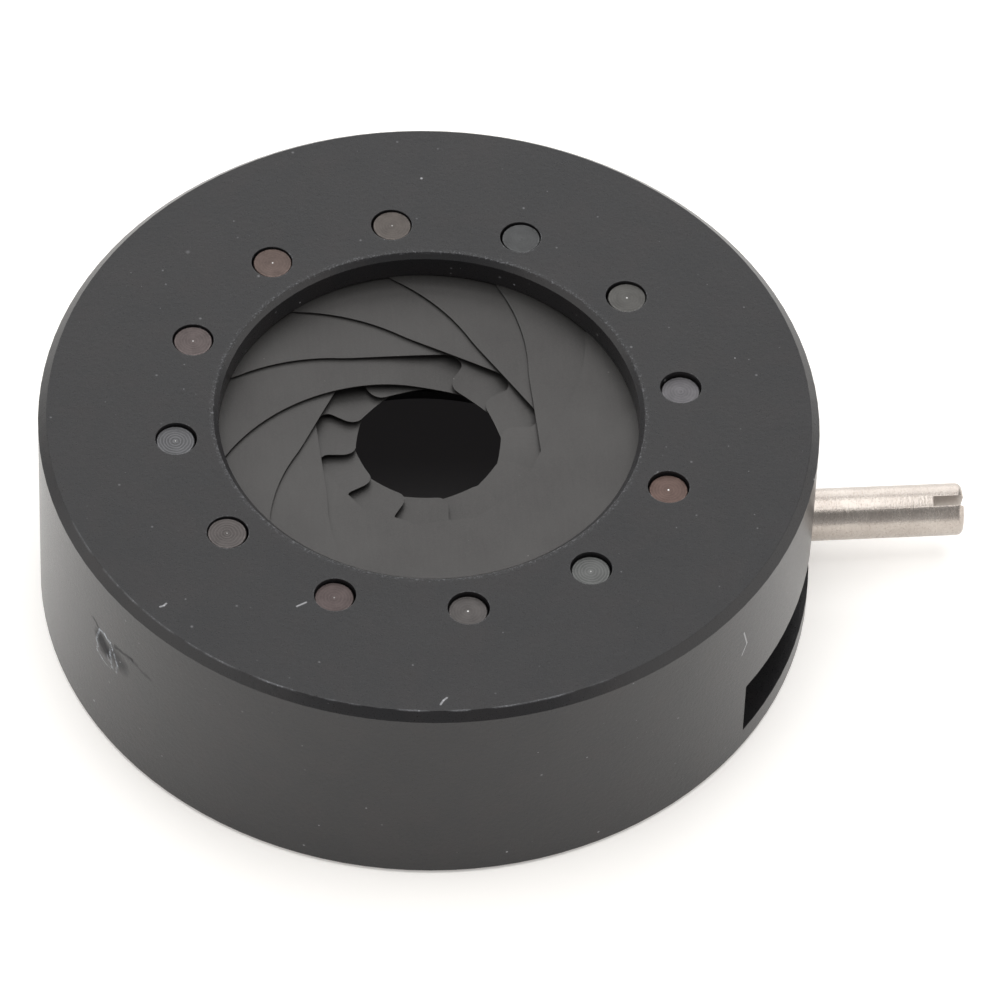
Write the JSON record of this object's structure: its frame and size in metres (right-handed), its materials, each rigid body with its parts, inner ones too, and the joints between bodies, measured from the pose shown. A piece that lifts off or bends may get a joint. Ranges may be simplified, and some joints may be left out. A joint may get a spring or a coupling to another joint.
{
  "type": "iris diaphragm",
  "caption": "Iris diaphragm: a black ring housing whose light opening is closed part way by thin overlapping leaves, opened and shut together by a lever pin in a side slot.",
  "frame": {"origin": "on the optical axis, in the plane of the housing's rear face, on which the part lies", "axes": "+Z along the optical axis out of the front face, the one with the pivot holes; +X along the lever pin as the iris is set; +Y completes the right-handed set"},
  "size_m": [0.0305, 0.0254, 0.008],
  "materials": {
    "housing_black": "black anodised, fine satin",
    "ring_black": "black anodised",
    "plate_black": "black anodised",
    "leaf_steel": "blackened spring steel foil, matte",
    "pin_steel": "dark turned steel",
    "drive_steel": "turned steel",
    "lever_steel": "bare stainless, turned",
    "spring_steel": "dark spring steel"
  },
  "bodies": {
    "housing_body": {"housing": "housing_black", "rear_plate": "plate_black", "snap_ring": "spring_steel", "wave_washer": "spring_steel"},
    "drive": {"drive_ring": "ring_black", "lever_pin": "lever_steel"},
    "blade_01": {"leaf_01": "leaf_steel", "pivot_pin_01": "pin_steel", "drive_pin_01": "drive_steel"},
    "blade_02": {"leaf_02": "leaf_steel", "pivot_pin_02": "pin_steel", "drive_pin_02": "drive_steel"},
    "blade_03": {"leaf_03": "leaf_steel", "pivot_pin_03": "pin_steel", "drive_pin_03": "drive_steel"},
    "blade_04": {"leaf_04": "leaf_steel", "pivot_pin_04": "pin_steel", "drive_pin_04": "drive_steel"},
    "blade_05": {"leaf_05": "leaf_steel", "pivot_pin_05": "pin_steel", "drive_pin_05": "drive_steel"},
    "blade_06": {"leaf_06": "leaf_steel", "pivot_pin_06": "pin_steel", "drive_pin_06": "drive_steel"},
    "blade_07": {"leaf_07": "leaf_steel", "pivot_pin_07": "pin_steel", "drive_pin_07": "drive_steel"},
    "blade_08": {"leaf_08": "leaf_steel", "pivot_pin_08": "pin_steel", "drive_pin_08": "drive_steel"},
    "blade_09": {"leaf_09": "leaf_steel", "pivot_pin_09": "pin_steel", "drive_pin_09": "drive_steel"},
    "blade_10": {"leaf_10": "leaf_steel", "pivot_pin_10": "pin_steel", "drive_pin_10": "drive_steel"},
    "blade_11": {"leaf_11": "leaf_steel", "pivot_pin_11": "pin_steel", "drive_pin_11": "drive_steel"},
    "blade_12": {"leaf_12": "leaf_steel", "pivot_pin_12": "pin_steel", "drive_pin_12": "drive_steel"}
  },
  "joints": [
    {"name": "ring_turn", "type": "hinge", "parent": "housing_body", "child": "drive", "pos_m": [0, 0, 0], "axis": [0, 0, 1], "range_deg": [-33.69, 80.12]},
    {"name": "leaf_swing_01", "type": "hinge", "parent": "housing_body", "child": "blade_01", "pos_m": [0.00826, 0.00066, 0.00703], "axis": [0, 0, 1], "range_deg": [-13.48, 32.06]},
    {"name": "leaf_swing_02", "type": "hinge", "parent": "housing_body", "child": "blade_02", "pos_m": [0.00682, 0.0047, 0.00703], "axis": [0, 0, 1], "range_deg": [-13.48, 32.06]},
    {"name": "leaf_swing_03", "type": "hinge", "parent": "housing_body", "child": "blade_03", "pos_m": [0.00356, 0.00749, 0.00703], "axis": [0, 0, 1], "range_deg": [-13.48, 32.06]},
    {"name": "leaf_swing_04", "type": "hinge", "parent": "housing_body", "child": "blade_04", "pos_m": [-0.00066, 0.00826, 0.00703], "axis": [0, 0, 1], "range_deg": [-13.48, 32.06]},
    {"name": "leaf_swing_05", "type": "hinge", "parent": "housing_body", "child": "blade_05", "pos_m": [-0.0047, 0.00682, 0.00703], "axis": [0, 0, 1], "range_deg": [-13.48, 32.06]},
    {"name": "leaf_swing_06", "type": "hinge", "parent": "housing_body", "child": "blade_06", "pos_m": [-0.00749, 0.00356, 0.00703], "axis": [0, 0, 1], "range_deg": [-13.48, 32.06]},
    {"name": "leaf_swing_07", "type": "hinge", "parent": "housing_body", "child": "blade_07", "pos_m": [-0.00826, -0.00066, 0.00703], "axis": [0, 0, 1], "range_deg": [-13.48, 32.06]},
    {"name": "leaf_swing_08", "type": "hinge", "parent": "housing_body", "child": "blade_08", "pos_m": [-0.00682, -0.0047, 0.00703], "axis": [0, 0, 1], "range_deg": [-13.48, 32.06]},
    {"name": "leaf_swing_09", "type": "hinge", "parent": "housing_body", "child": "blade_09", "pos_m": [-0.00356, -0.00749, 0.00703], "axis": [0, 0, 1], "range_deg": [-13.48, 32.06]},
    {"name": "leaf_swing_10", "type": "hinge", "parent": "housing_body", "child": "blade_10", "pos_m": [0.00066, -0.00826, 0.00703], "axis": [0, 0, 1], "range_deg": [-13.48, 32.06]},
    {"name": "leaf_swing_11", "type": "hinge", "parent": "housing_body", "child": "blade_11", "pos_m": [0.0047, -0.00682, 0.00703], "axis": [0, 0, 1], "range_deg": [-13.48, 32.06]},
    {"name": "leaf_swing_12", "type": "hinge", "parent": "housing_body", "child": "blade_12", "pos_m": [0.00749, -0.00356, 0.00703], "axis": [0, 0, 1], "range_deg": [-13.48, 32.06]}
  ],
  "couplings": [
    {"joint": "leaf_swing_01", "follows": "ring_turn", "ratio": 0.4},
    {"joint": "leaf_swing_02", "follows": "ring_turn", "ratio": 0.4},
    {"joint": "leaf_swing_03", "follows": "ring_turn", "ratio": 0.4},
    {"joint": "leaf_swing_04", "follows": "ring_turn", "ratio": 0.4},
    {"joint": "leaf_swing_05", "follows": "ring_turn", "ratio": 0.4},
    {"joint": "leaf_swing_06", "follows": "ring_turn", "ratio": 0.4},
    {"joint": "leaf_swing_07", "follows": "ring_turn", "ratio": 0.4},
    {"joint": "leaf_swing_08", "follows": "ring_turn", "ratio": 0.4},
    {"joint": "leaf_swing_09", "follows": "ring_turn", "ratio": 0.4},
    {"joint": "leaf_swing_10", "follows": "ring_turn", "ratio": 0.4},
    {"joint": "leaf_swing_11", "follows": "ring_turn", "ratio": 0.4},
    {"joint": "leaf_swing_12", "follows": "ring_turn", "ratio": 0.4}
  ]
}
